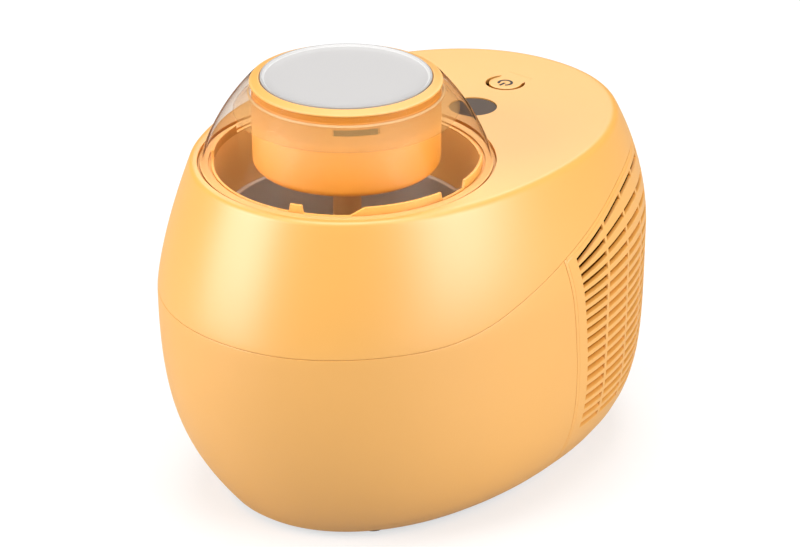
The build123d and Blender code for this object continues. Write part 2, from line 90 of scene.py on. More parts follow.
def seamRise(y):
    # level, circular bend, straight climb, circular bend, level
    r, start, run, climb = (bodyForm[k] for k in ("seamBend", "seamStart", "seamRun", "seamClimb"))
    slope = math.atan2(climb, run)
    reach = r * math.tan(slope / 2)
    low = r - np.sqrt(np.maximum(r * r - (y - start + reach) ** 2, 0))
    high = climb - r + np.sqrt(np.maximum(r * r - (start + run + reach - y) ** 2, 0))
    line = (y - start) * climb / run
    rise = np.where(y < start + reach * math.cos(slope), low, line)
    rise = np.where(y > start + run - reach * math.cos(slope), high, rise)
    return np.where(y < start - reach, 0, np.where(y > start + run + reach, climb, rise))


def circleThrough(a, b, c):
    # centre and radius of the circle through three points
    a, b, c = (np.asarray(p, float) for p in (a, b, c))
    centre = np.linalg.solve(2 * np.array([b - a, c - a]), [b @ b - a @ a, c @ c - a @ a])
    return centre, np.linalg.norm(a - centre)


def panelEdgeY(z):
    # bowed front edge of the rear panel in side view, an arc through its three points
    centre, r = circleThrough(*bodyForm["panelEdge"])
    return centre[0] + np.sign(bodyForm["panelEdge"][1][0] - centre[0]) * np.sqrt(r * r - (z - centre[1]) ** 2)


def angleAtY(y, z):
    # plan angle on the +X side where the body surface has this y
    gap = y - bodyForm["widestY"]
    share = np.abs(gap) / np.where(gap > 0, halfSize(z, 1), halfSize(z, 0))
    return np.sign(gap) * np.arcsin(np.clip(share, 0, 1) ** (bodyForm["planPower"] / 2))


def seamHeight(angle):
    # height where the seam line meets the wall at each plan angle, by repeated substitution
    z = np.full(np.shape(angle), bodyForm["seamFront"])
    for _ in range(settleRounds):
        z = bodyForm["seamFront"] + seamRise(bodyPoint(angle, z)[..., 1])
    return z


def gridFaces(rows, cols, closed=False, start=0):
    # quads between neighbouring rows and columns of a grid, wrapped round if closed
    i = np.arange(rows - 1)[:, None]
    j = np.arange(cols if closed else cols - 1)[None, :]
    k = (j + 1) % cols
    quads = np.stack(np.broadcast_arrays(i * cols + j, i * cols + k, (i + 1) * cols + k, (i + 1) * cols + j), -1)
    return quads.reshape(-1, 4) + start


def makePiece(name, points, faces, material, body, stands=(), sharp=40, edges=(), weld=False):
    # points in millimetres become one mesh object at the origin that rides on a body
    mesh = bpy.data.meshes.new(name)
    faces = faces if isinstance(faces, list) else faces.tolist()
    mesh.from_pydata((np.asarray(points).reshape(-1, 3) * mm).tolist(), list(edges), faces)
    if weld:
        bm = bmesh.new()
        bm.from_mesh(mesh)
        bmesh.ops.remove_doubles(bm, verts=bm.verts, dist=weldGap)
        bmesh.ops.dissolve_degenerate(bm, edges=bm.edges, dist=flatGap)
        bmesh.ops.recalc_face_normals(bm, faces=bm.faces)
        bm.to_mesh(mesh)
        bm.free()
    mesh.polygons.foreach_set("use_smooth", np.ones(len(mesh.polygons), bool))
    mesh.set_sharp_from_angle(angle=math.radians(sharp))
    mesh.update()
    piece = bpy.data.objects.new(name, mesh)
    scene.collection.objects.link(piece)
    mesh.materials.append(material)
    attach(piece, body)
    if stands:
        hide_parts(*stands)
    return piece


def paintFaces(piece, finishes, pick):
    # further finishes after the first, and the number of the one that each face gets
    for finish in finishes:
        piece.data.materials.append(finish)
    piece.data.polygons.foreach_set("material_index", np.asarray(pick, np.int32).reshape(-1))


def faceHeights(piece):
    # height of the middle of every face, in millimetres
    middle = np.zeros(len(piece.data.polygons) * 3)
    piece.data.polygons.foreach_get("center", middle)
    return middle[2::3] / mm


def addWall(piece, thickness):
    # wall thickness to the inside
    wall = piece.modifiers.new("wall", "SOLIDIFY")
    wall.thickness = thickness * mm
    wall.offset = -1


def softenEdges(piece, width, limit):
    # fine round on every edge sharper than the limit
    edge = piece.modifiers.new("edge", "BEVEL")
    edge.width = width * mm
    edge.segments = 2
    edge.limit_method = "ANGLE"
    edge.angle_limit = math.radians(limit)
    edge.harden_normals = True


def softCorners(corners, radii, steps=6):
    # chain of straight runs whose corners are quadratic curves, each up to about half a run long
    corners = np.asarray(corners, float)
    longest = 0.49
    chain = []
    for before, here, after, reach in zip(np.roll(corners, 1, 0), corners, np.roll(corners, -1, 0), radii):
        if reach <= 0:
            chain.append(here[None])
            continue
        a = here + (before - here) * min(longest, reach / np.linalg.norm(before - here))
        b = here + (after - here) * min(longest, reach / np.linalg.norm(after - here))
        t = np.linspace(0, 1, steps)[:, None]
        chain.append((1 - t) ** 2 * a + 2 * t * (1 - t) * here + t ** 2 * b)
    return np.concatenate(chain)


def arcPoints(a, b, c, steps):
    # points along the circle arc from a through b to c
    centre, r = circleThrough(a, b, c)
    turn = np.unwrap([math.atan2(p[1] - centre[1], p[0] - centre[0]) for p in (a, b, c)])
    t = np.linspace(turn[0], turn[2], steps)
    return centre + r * np.stack([np.cos(t), np.sin(t)], -1)


def spinSurface(profile, turns=144, closed=True):
    # profile of radius and height over the deck, carried round the dome axis
    profile = np.asarray(profile, float) + (0, deckZ)
    if closed:
        profile = np.concatenate([profile, profile[:1]])
    turn = np.linspace(0, 2 * np.pi, turns, endpoint=False)
    r, z = profile[:, :1], profile[:, 1:]
    points = np.stack(np.broadcast_arrays(r * np.cos(turn), domeY + r * np.sin(turn), z + 0 * turn), -1)
    return points, gridFaces(len(profile), turns, True)


# noise that all finishes share, bump depth in metres
grainLook = {"driftScale": 14, "driftDetail": 2, "fineScale": 1400, "fineDetail": 3, "glossSpan": 0.15, "depth": 0.0002,
             "coatRoughness": 0.12}


def plasticFinish(name, colour, roughness, grain, coat=0.0, spread=0.04, shine=0.5, ior=1.5):
    # moulded plastic: slow drift of tone, fine moulding texture in roughness and bump
    d = grainLook
    m = bpy.data.materials.new(name)
    m.use_nodes = True
    t = m.node_tree
    p = t.nodes["Principled BSDF"]
    where = t.nodes.new("ShaderNodeTexCoord")
    where.name = "where"
    drift = t.nodes.new("ShaderNodeTexNoise")
    drift.inputs["Scale"].default_value = d["driftScale"]
    drift.inputs["Detail"].default_value = d["driftDetail"]
    tone = t.nodes.new("ShaderNodeValToRGB")
    tone.color_ramp.elements[0].color = [c * (1 - spread) for c in colour] + [1]
    tone.color_ramp.elements[1].color = [min(1, c * (1 + spread)) for c in colour] + [1]
    fine = t.nodes.new("ShaderNodeTexNoise")
    fine.name = "fine"
    fine.inputs["Scale"].default_value = d["fineScale"]
    fine.inputs["Detail"].default_value = d["fineDetail"]
    gloss = t.nodes.new("ShaderNodeMapRange")
    gloss.inputs["To Min"].default_value = roughness * (1 - d["glossSpan"])
    gloss.inputs["To Max"].default_value = roughness * (1 + d["glossSpan"])
    bump = t.nodes.new("ShaderNodeBump")
    bump.inputs["Strength"].default_value = grain
    bump.inputs["Distance"].default_value = d["depth"]
    t.links.new(where.outputs["Object"], drift.inputs["Vector"])
    t.links.new(where.outputs["Object"], fine.inputs["Vector"])
    t.links.new(drift.outputs["Fac"], tone.inputs["Fac"])
    t.links.new(tone.outputs["Color"], p.inputs["Base Color"])
    t.links.new(fine.outputs["Fac"], gloss.inputs["Value"])
    t.links.new(gloss.outputs["Result"], p.inputs["Roughness"])
    t.links.new(fine.outputs["Fac"], bump.inputs["Height"])
    t.links.new(bump.outputs["Normal"], p.inputs["Normal"])
    p.inputs["Coat Weight"].default_value = coat
    p.inputs["Coat Roughness"].default_value = d["coatRoughness"]
    p.inputs["Specular IOR Level"].default_value = shine
    p.inputs["IOR"].default_value = ior
    return m


metalGrain = {"grain": 0.06, "spread": 0.03}


def metalFinish(name, colour, roughness, lines, metallic=1.0):
    # metal with fine turned or drawn lines in its roughness and bump
    m = plasticFinish(name, colour, roughness, **metalGrain)
    t = m.node_tree
    t.nodes["Principled BSDF"].inputs["Metallic"].default_value = metallic
    stretch = t.nodes.new("ShaderNodeMapping")
    stretch.inputs["Scale"].default_value = lines
    t.links.new(t.nodes["where"].outputs["Object"], stretch.inputs["Vector"])
    t.links.new(stretch.outputs["Vector"], t.nodes["fine"].inputs["Vector"])
    return m


domeTint = {"colour": (0.47, 0.31, 0.19, 1), "density": 68, "coat": 0.04, "coatRoughness": 0.1, "ior": 1.01}


def clearFinish(name, colour, roughness):
    # clear moulded plastic: little bending of the view, and a brown tint where the view runs along the wall
    d = domeTint
    m = plasticFinish(name, colour, roughness, 0.0, coat=d["coat"], spread=0.01, ior=d["ior"])
    t = m.node_tree
    p = t.nodes["Principled BSDF"]
    p.inputs["Transmission Weight"].default_value = 1
    p.inputs["Coat Roughness"].default_value = d["coatRoughness"]
    tint = t.nodes.new("ShaderNodeVolumeAbsorption")
    tint.inputs["Color"].default_value = d["colour"]
    tint.inputs["Density"].default_value = d["density"]
    t.links.new(tint.outputs["Volume"], t.nodes["Material Output"].inputs["Volume"])
    return m


frostGloss = {"roughness": 0.6, "grain": 0.1, "spread": 0.03, "shine": 0.1}


def frostedFinish(name, colour, levels, cover):
    # milky plastic whose cover grows smoothly from the low to the high level
    m = plasticFinish(name, colour, **frostGloss)
    t = m.node_tree
    split = t.nodes.new("ShaderNodeSeparateXYZ")
    fade = t.nodes.new("ShaderNodeMapRange")
    fade.interpolation_type = "SMOOTHSTEP"
    fade.inputs["From Min"].default_value, fade.inputs["From Max"].default_value = levels[0] * mm, levels[1] * mm
    fade.inputs["To Min"].default_value, fade.inputs["To Max"].default_value = cover
    t.links.new(t.nodes["where"].outputs["Object"], split.inputs["Vector"])
    t.links.new(split.outputs["Z"], fade.inputs["Value"])
    t.links.new(fade.outputs["Result"], t.nodes["Principled BSDF"].inputs["Alpha"])
    return m


bodyGloss = {"roughness": 0.42, "grain": 0.05, "spread": 0.02, "shine": 1.0, "ior": 1.55}
# stops of the painted shade in the louvre slots, and the shade at which their specular is gone
slotShade = {"middleAt": 0.5, "darkAt": 0.8, "darkShare": 0.35, "dullAt": 0.7}


def slotFinish(name, colour, middle, deep):
    # painted shade: body plastic that goes from its own colour to a deep dull one by the painted shade kept on the
    # points, with less specular where the shade is deeper
    d = slotShade
    m = plasticFinish(name, colour, **bodyGloss)
    t = m.node_tree
    p = t.nodes["Principled BSDF"]
    kept = t.nodes.new("ShaderNodeAttribute")
    kept.attribute_name = "shade"
    tone = t.nodes.new("ShaderNodeValToRGB")
    tone.color_ramp.elements[0].color = (*colour, 1)
    tone.color_ramp.elements[1].color = (*deep, 1)
    tone.color_ramp.elements.new(d["middleAt"]).color = (*middle, 1)
    tone.color_ramp.elements.new(d["darkAt"]).color = [d["darkShare"] * c for c in middle] + [1]
    dull = t.nodes.new("ShaderNodeMapRange")
    dull.inputs["From Max"].default_value = d["dullAt"]
    dull.inputs["To Min"].default_value = 1
    dull.inputs["To Max"].default_value = 0
    t.links.new(kept.outputs["Fac"], dull.inputs["Value"])
    t.links.new(dull.outputs["Result"], p.inputs["Specular IOR Level"])
    t.links.new(kept.outputs["Fac"], tone.inputs["Fac"])
    t.links.new(tone.outputs["Color"], p.inputs["Base Color"])
    return m


yellow = (0.9, 0.45, 0.098)
# name, colour, roughness, grain
bodyYellow = plasticFinish("bodyYellow", yellow, **bodyGloss)
# the rear panel's plastic, with painted shade in its slots from brown to near black
panelYellow = slotFinish("panelYellow", yellow, (0.64, 0.225, 0.024), (0.006, 0.004, 0.002))
# the drum wall's finish is a darker copy of the body plastic, painted shade; the deep finish after it is painted shade
# under the drum's ring and down the side of the power key
drumShadedYellow = plasticFinish("drumShadedYellow", (0.56, 0.21, 0.009), 0.5, 0.05, spread=0.02, shine=1.0, ior=1.6)
paintedShadeOrange = plasticFinish("paintedShadeOrange", (0.42, 0.15, 0.012), 0.4, 0.05, spread=0.02, shine=0.3)
# collar finish: a darker copy of the body plastic, painted shade; throat finish: a lighter copy, painted light down the
# inside of the throat
collarShadedYellow = plasticFinish("collarShadedYellow", (0.66, 0.32, 0.075), 0.4, 0.05, spread=0.02, shine=0.4)
throatLitYellow = plasticFinish("throatLitYellow", (0.98, 0.6, 0.22), 0.4, 0.05, spread=0.02, shine=0.5)
capWhite = plasticFinish("capWhite", (0.47, 0.457, 0.45), 0.45, 0.05, spread=0.01)
# the cap's outer rim a darker grey as painted shade, the slope into its dish a paler grey as painted highlight
capOuterShade = plasticFinish("capOuterShade", (0.42, 0.41, 0.4), 0.45, 0.05, spread=0.01)
capSlopeHighlight = plasticFinish("capSlopeHighlight", (0.66, 0.65, 0.64), 0.45, 0.05, spread=0.01)
badgeDark = plasticFinish("badgeDark", (0.1, 0.07, 0.052), 0.6, 0.02, spread=0.12, shine=0.25)
signBrown = plasticFinish("signBrown", (0.03, 0.02, 0.016), 0.6, 0.02, spread=0.1)
# near black painted shade for the drum's finger slot
slotShadeBlack = plasticFinish("slotShadeBlack", (0.012, 0.008, 0.005), 0.8, 0.05, spread=0.3)
clearDome = clearFinish("clearDome", (1.0, 0.985, 0.96), 0.02)
frostedSkirt = frostedFinish("frostedSkirt", (0.33, 0.187, 0.066), levels=(261, 267), cover=(0.2, 0.3))
# opaque paler top edge of the skirt, a painted highlight
skirtEdgeHighlight = plasticFinish("skirtEdgeHighlight", (0.4, 0.25, 0.115), 0.5, 0.05, spread=0.01)
gasketTan = plasticFinish("gasketTan", (0.6, 0.33, 0.12), 0.6, 0.1, spread=0.06, shine=0.2)
paddleTan = plasticFinish("paddleTan", (0.5, 0.27, 0.11), 0.4, 0.08, spread=0.06)
spunMetal = metalFinish("spunMetal", (0.62, 0.6, 0.57), 0.34, (0.02, 0.02, 1))
bowlMetal = metalFinish("bowlMetal", (0.72, 0.665, 0.61), 0.42, (0.02, 0.02, 1), metallic=0.75)
zincSteel = metalFinish("zincSteel", (0.55, 0.55, 0.56), 0.4, (1, 0.03, 0.03))
copperCoil = metalFinish("copperCoil", (0.7, 0.34, 0.2), 0.35, (0.03, 0.03, 1))
blackPlastic = plasticFinish("blackPlastic", (0.02, 0.02, 0.021), 0.5, 0.2, spread=0.15)
blackEnamel = plasticFinish("blackEnamel", (0.012, 0.012, 0.013), 0.25, 0.1, coat=0.5, spread=0.2)
foamCream = plasticFinish("foamCream", (0.8, 0.72, 0.5), 0.9, 0.5, spread=0.1)
rubberBlack = plasticFinish("rubberBlack", (0.022, 0.021, 0.02), 0.75, 0.3, spread=0.2)
boardGreen = plasticFinish("boardGreen", (0.02, 0.11, 0.035), 0.4, 0.1, coat=0.3, spread=0.1)
print("finishes made")

# upper housing: wall above the seam, soft deck edge, flat deck with its three holes
deckLook = {"wall": 3.0, "around": 360, "rise": 22, "loops": (180, 72, 64),
            "foot": ((0.4, 0.0), (0.12, 0.12), (0.02, 0.28)), "footTop": 0.5,   # sunk by, at height over the seam
            "edge": (0.5, 4.0), "edgeShare": 0.55, "edgeRows": 8, "slack": 0.01,
            "seatHole": 93.8, "keyY": 102.2, "keyHole": 13.2, "neckHalf": 9.53, "neckEnd": 17.03,
            "badge": (9.0, 56.2, 15.7)}


def deckHoles():
    # loops of points on the deck: seat circle, key circle that runs into its neck, badge circle
    d = deckLook
    seatCount, keyCount, badgeCount = d["loops"]
    t = np.linspace(0, 2 * np.pi, seatCount, endpoint=False)
    seat = np.stack([d["seatHole"] * np.cos(t), domeY + d["seatHole"] * np.sin(t)], -1)
    meet = math.acos(d["neckHalf"] / d["keyHole"])
    k = np.linspace(math.pi - meet, 2 * math.pi + meet, keyCount)
    key = np.stack([d["keyHole"] * np.cos(k), d["keyY"] + d["keyHole"] * np.sin(k)], -1)
    ends = np.array([[d["neckHalf"], d["keyY"] + d["neckEnd"]], [-d["neckHalf"], d["keyY"] + d["neckEnd"]]])
    b = np.linspace(0, 2 * np.pi, badgeCount, endpoint=False)
    x, y, r = d["badge"]
    badge = np.stack([x + r * np.cos(b), y + r * np.sin(b)], -1)
    return [seat, np.concatenate([key, ends]), badge]


def buildUpperHousing():
    # wall rows from the seam to the edge, a quadratic round to the deck, then the deck filled between loops
    d = deckLook
    angle = np.linspace(0, 2 * np.pi, d["around"], endpoint=False)
    rim = bodyPoint(angle, deckZ)
    gap = np.hypot(rim[:, 0], rim[:, 1] - domeY) - d["seatHole"]
    reach = np.clip(d["edgeShare"] * gap, *d["edge"])
    low = seamHeight(angle)
    t = np.linspace(0, 1, d["rise"])[:, None]
    wall = bodyPoint(angle[None, :], low + d["footTop"] + t * (deckZ - reach - low - d["footTop"]))
    sunk = np.array(d["foot"])[:, :, None]
    foot = bodyPoint(angle[None, :], low + sunk[:, 1])
    foot = foot - bodyNormal(angle[None, :], low + sunk[:, 1]) * sunk[:, 0, :, None]
    along = np.roll(rim, -1, 0) - np.roll(rim, 1, 0)
    inward = np.stack([-along[:, 1], along[:, 0], 0 * reach], -1)
    inward /= np.linalg.norm(inward, axis=1, keepdims=True)
    land = rim + inward * reach[:, None]
    s = np.linspace(0, 1, d["edgeRows"])[1:, None, None]
    edge = (1 - s) ** 2 * wall[-1] + 2 * s * (1 - s) * rim + s ** 2 * land
    rows = np.concatenate([foot, wall, edge])
    points = rows.reshape(-1, 3)
    faces = gridFaces(len(rows), d["around"], True)
    edges = []
    for loop in deckHoles():
        first = len(points)
        points = np.concatenate([points, np.column_stack([loop, np.full(len(loop), deckZ)])])
        k = np.arange(len(loop))
        edges += np.stack([first + k, first + (k + 1) % len(loop)], -1).tolist()
    piece = makePiece("upperHousing", points, faces, bodyYellow, "body", ["upper_housing"], edges=edges)
    bm = bmesh.new()
    bm.from_mesh(piece.data)
    deckLevel = (deckZ - d["slack"]) * mm
    top = [e for e in bm.edges if len(e.link_faces) < 2 and min(v.co.z for v in e.verts) > deckLevel]
    filled = bmesh.ops.triangle_fill(bm, use_beauty=True, edges=top, normal=(0, 0, 1))
    for f in filled["geom"]:
        if isinstance(f, bmesh.types.BMFace):
            f.smooth = False
    bm.to_mesh(piece.data)
    bm.free()
    addWall(piece, d["wall"])


buildUpperHousing()
print("upper housing built")

# lower housing: wall below the seam from one panel edge round the front to the other
lowerLook = {"gap": 0.15, "around": 240, "rise": 44, "guess": 140, "wall": 3.0, "edge": 0.5, "edgeLimit": 60}


def buildLowerHousing():
    # one parameter runs round the front between the panel edges, the other from the base to the seam
    d = lowerLook
    s = np.linspace(0, 1, d["around"])[None, :]
    t = np.linspace(0, 1, d["rise"])[:, None]
    z = np.broadcast_to(bodyForm["baseZ"] + t * d["guess"], (d["rise"], d["around"])).copy()
    for _ in range(settleRounds):
        edge = angleAtY(panelEdgeY(z) - d["gap"], z)
        angle = edge - s * (np.pi + 2 * edge)
        top = bodyForm["seamFront"] + seamRise(bodyPoint(angle, z)[..., 1]) - d["gap"]
        z = bodyForm["baseZ"] + t * (top - bodyForm["baseZ"])
    # the angle runs backwards, so the faces are turned to look outwards
    faces = gridFaces(d["rise"], d["around"])[:, [0, 3, 2, 1]]
    piece = makePiece("lowerHousing", bodyPoint(angle, z), faces, bodyYellow, "body", ["lower_housing"])
    addWall(piece, d["wall"])
    softenEdges(piece, d["edge"], d["edgeLimit"])


buildLowerHousing()
print("lower housing built")

# rear panel: rows of louvres that fan out below the seam, in columns parted by ribs, with painted shade in the slots
louvreLook = {"rows": 19, "columns": 5, "pitch": 7.0, "height": 4.2, "margin": 11.5, "topMargin": 6.8, "fan": 0.65,
              "columnPitch": 31.0, "firstColumn": 24.0, "rib": 2.6, "depth": 1.8, "gap": 0.15, "wall": 3.0,
              "ledge": 0.8, "ledgeNear": 0.05, "ledgeRise": 0.9, "land": 1.0,
              "edge": ((0, 3.0), (0, 0.5), (0.15, 0.15), (0.5, 0)),          # offset from the panel's edge, depth
              "border": 2.4, "groove": ((0, 0), (0.25, 0.35), (0.7, 0)),     # offset from the border, depth
              "firstShares": (0.02, 0.25, 0.5, 0.75, 0.98),
              "shares": (0.012, 0.2, 0.4, 0.6, 0.8, 0.988),
              "plainShares": (0, 0.25, 0.5, 0.75, 1), "plainRows": (0.1, 0.25, 0.45, 0.65, 0.8, 0.9, 1),
              # fadeRows, fadeColumns and backLift set how the painted shade in the slots eases off in lower rows and
              # further columns
              "fadeRows": 13, "fadeColumns": 1.2, "backLift": 0.42, "guess": (60, 5 / 9), "settle": 40,
              "girdleSteps": 2000}


def louvreRowHeight(row, y):
    # lower edge of a row: level far down, more and more like the seam higher up
    d = louvreLook
    front = bodyForm["panelEdge"][1][0] + d["margin"]
    atFront = bodyForm["seamClimb"] * (front - bodyForm["seamStart"]) / bodyForm["seamRun"]
    first = bodyForm["seamFront"] + atFront - d["topMargin"] - d["height"]
    return first - row * d["pitch"] + d["fan"] ** row * (seamRise(y) - atFront)


def panelLines(arcEnd):
    # columns of the grid: share of the way from the edge to the arc line, offset from the edge, arc, depth, in a slot
    d = louvreLook
    rim = d["edge"] + tuple((d["border"] + offset, depth) for offset, depth in d["groove"])
    lines = [(0, offset, 0, depth, 0) for offset, depth in rim]
    lines += [(0, d["margin"] - d["land"], 0, 0, 0), (0, d["margin"], 0, 0, 0)]
    front = bodyForm["panelEdge"][1][0] + d["margin"] - bodyForm["widestY"]
    ribs = front + d["firstColumn"] + d["columnPitch"] * np.arange(d["columns"])
    for k in range(d["columns"]):
        stop = ribs[k] - d["rib"] / 2
        if k == 0:
            lines += [(w, d["margin"], stop, 0, 1) for w in d["firstShares"]]
        else:
            begin = ribs[k - 1] + d["rib"] / 2
            lines += [(1, 0, begin, 0, 0)]
            lines += [(1, 0, begin + w * (stop - begin), 0, 1) for w in d["shares"]]
        lines += [(1, 0, stop, 0, 0)]
    last = ribs[-1] + d["rib"] / 2
    lines += [(1, 0, last + w * (arcEnd - last), 0, 0) for w in d["plainShares"]]
    return rim, np.array(lines, float)


def panelLevels(rim, above, below):
    # rows of the grid: louvre row, height over its lower edge, depth, in a slot, dark (painted shade)
    d = louvreLook
    h, deep, ledge = d["height"], d["depth"], d["ledge"]
    section = [(h, 0, 0, 0), (h - 0.1, 0.4, 1, 0.6), (h - 0.14, deep, 1, 1), (0.8 * h, deep, 1, 1),
               (ledge, deep, 1, 1), (ledge - 0.03, deep - 0.06, 1, 0.42), (0.1, 0.15, 1, 0.05), (0, 0, 0, 0)]
    levels = [(above, -offset, depth, 0, 0) for offset, depth in rim]
    levels += [(k, *part) for k in range(d["rows"]) for part in section]
    levels += [(below, w, 0, 0, 0) for w in d["plainRows"]] + [(below, 1, d["wall"], 0, 0)]
    return np.array(levels, float)


def buildRearPanel():
    # grid lines follow the louvre edges, and each point sinks into the wall by the louvre's depth there
    d = louvreLook
    ring = np.linspace(0, np.pi / 2, d["girdleSteps"])
    girdle = bodyPoint(ring, bodyForm["bulgeZ"])
    arc = np.concatenate([[0], np.cumsum(np.linalg.norm(np.diff(girdle, axis=0), axis=1))])
    above, below = -1, 99
    rim, lines = panelLines(arc[-1])
    levels = panelLevels(rim, above, below)
    share, offset, stopArc, sideDepth, slotColumn = lines.T
    row, height, depth, slotRow, dark = levels.T[:, :, None]
    fixed = np.interp(stopArc, arc, ring)
    column = np.cumsum(np.abs(np.diff(slotColumn, prepend=0)) > 0) // 2
    fade = np.clip(row / d["fadeRows"] * (1 + d["fadeColumns"] * column), 0, 1)
    lift = height + (np.abs(height - d["ledge"]) < d["ledgeNear"]) * slotRow * d["ledgeRise"] * fade
    start, fall = d["guess"]
    z = np.broadcast_to(deckZ - start - fall * row, lift.shape).copy()
    for _ in range(d["settle"]):
        edge = angleAtY(panelEdgeY(z) + offset, z)
        angle = edge + share * (fixed - edge)
        y = bodyPoint(angle, z)[..., 1]
        seam = bodyForm["seamFront"] + seamRise(y) - d["gap"]
        lowest = louvreRowHeight(d["rows"] - 1, y)
        z = louvreRowHeight(row, y) + lift
        z = np.where(row == above, seam + lift, z)
        z = np.where(row == below, lowest + lift * (bodyForm["baseZ"] - lowest), z)
    inSlot = slotRow * slotColumn
    sink = np.maximum(np.where(slotRow > 0, inSlot * depth, depth), sideDepth)
    points = bodyPoint(angle, z) - bodyNormal(angle, z) * sink[..., None]
    mirrored = points[:, ::-1] * np.array([-1, 1, 1])
    both = np.concatenate([points, mirrored[:, 1:]], 1)
    faces = gridFaces(*both.shape[:2])[:, ::-1]
    piece = makePiece("rearPanel", both, faces, panelYellow, "body", ["rear_panel"], sharp=30)
    # painted shade on the points: near black at the back of each slot, brown down its slope, the back lighter in lower
    # rows and further columns
    shade = inSlot * dark * np.where(dark == 1, 1 - d["backLift"] * fade, 1)
    shade = np.concatenate([shade, shade[:, ::-1][:, 1:]], 1).reshape(-1).astype(np.float32)
    piece.data.attributes.new("shade", "FLOAT", "POINT").data.foreach_set("value", shade)


buildRearPanel()
print("rear panel built")

# lid: clear dome with two lugs, all radii from the dome axis and all heights over the deck
domeLook = {"foot": -0.6, "radius": 92.0, "mid": (83.9, 19.4), "neck": (61.0, 51.8), "hole": 59.3, "shell": 1.8,
            "toe": 0.3, "steps": 40, "around": 192, "lug": (85.5, 88.2, -0.3, 1.7), "lugTurn": (-14.0, 5.0)}
lugLook = {"round": 0.4, "steps": 16, "taper": 0.9, "inset": 0.15}


def arcBar(r0, r1, z0, z1, a0, a1):
    # rounded rectangle carried along an arc about the dome axis, drawn to a point at both ends
    d = lugLook
    section = softCorners([(r0, z0), (r1, z0), (r1, z1), (r0, z1)], (d["round"],) * 4, 4)
    section = np.concatenate([section, section[:1]])
    middle = np.array([(r0 + r1) / 2, (z0 + z1) / 2])
    size = np.concatenate([[0, d["taper"]], np.ones(d["steps"]), [d["taper"], 0]])[:, None, None]
    run = np.linspace(a0 + d["inset"], a1 - d["inset"], d["steps"])
    turn = np.radians(np.concatenate([[a0, a0], run, [a1, a1]]))[:, None]
    rz = middle + (section - middle)[None] * size
    points = np.stack([rz[..., 0] * np.cos(turn), domeY + rz[..., 0] * np.sin(turn), deckZ + rz[..., 1]], -1)
    return points, gridFaces(*points.shape[:2])


def buildDome():
    # arc from the foot over the bulge to the neck, and the same arc moved inwards by the shell
    d = domeLook
    outer = arcPoints((d["radius"], d["foot"]), d["mid"], d["neck"], d["steps"])
    slope = np.gradient(outer, axis=0)
    slope /= np.linalg.norm(slope, axis=1, keepdims=True)
    inner = outer + d["shell"] * np.stack([-slope[:, 1], slope[:, 0]], -1)
    inner = inner[(inner[:, 1] > d["foot"]) & (inner[:, 0] > d["hole"])][::-1]
    neckEnd = [(d["hole"], d["neck"][1])]
    toe = [(inner[-1, 0] + d["toe"], d["foot"])]
    points, faces = spinSurface(np.concatenate([outer, neckEnd, inner, toe]), d["around"])
    dome = makePiece("lidDome", points, faces, clearDome, "lid", ["lid_dome"], sharp=50, weld=True)
    dome.visible_shadow = False


def buildLugs():
    # one bar under each side of the dome
    d = domeLook
    for turn in (0, 180):
        points, faces = arcBar(*d["lug"], d["lugTurn"][0] + turn, d["lugTurn"][1] + turn)
        lug = makePiece("lidLug", points, faces, clearDome, "lid", weld=True)
        lug.visible_shadow = False


# frosted skirt that hugs the dome under its neck, its top edge painted paler as a highlight
skirtLook = {"wall": 3.6, "midDrop": 0.9, "play": 0.3, "low": 33.4, "top": 47.9, "thick": (-0.9, -1.53),
             "highlightBand": 0.1}


def buildSkirt():
    # piece of an arc inside the dome, and the same piece moved inwards
    d, dome = skirtLook, domeLook
    (midR, midZ), wall = dome["mid"], d["wall"]
    arc = arcPoints((dome["hole"], dome["neck"][1] - wall), (midR - wall, midZ - d["midDrop"]),
                    (dome["radius"] - wall, dome["foot"]), dome["steps"])
    band = arc[(arc[:, 1] > d["low"]) & (arc[:, 1] < d["top"])] - (0, d["play"])
    points, faces = spinSurface(np.concatenate([band, (band + d["thick"])[::-1]]))
    skirt = makePiece("headSkirt", points, faces, frostedSkirt, "lid", ["head_skirt"], weld=True)
    high = faceHeights(skirt)
    # the top band of faces gets the painted highlight
    paintFaces(skirt, [skirtEdgeHighlight], high > high.max() - d["highlightBand"])
    skirt.visible_shadow = False


# motor drum in a darker copy of the body plastic, painted shade: slot for the finger painted near black as shade,
# deeper band over the shade line painted as the shade under the ring, ring on top in the body plastic
drumLook = {"radius": 59.0, "low": -2.0, "lip": (60.1, 51.9, 52.9), "shoulder": (54.0, 55.1), "ease": (0.3, 0.25),
            "seat": 52.5, "corners": (0, 5, 0, 0.4, 0.5, 0.8, 0.8, 0, 0), "shade": 47.5, "gripSlope": 0.2,
            "leastRadius": 1e-6,
            "grip": (-43.5, 14.1, 39.2, 43.2, 1.2)}   # middle and half width in degrees, low, top, depth


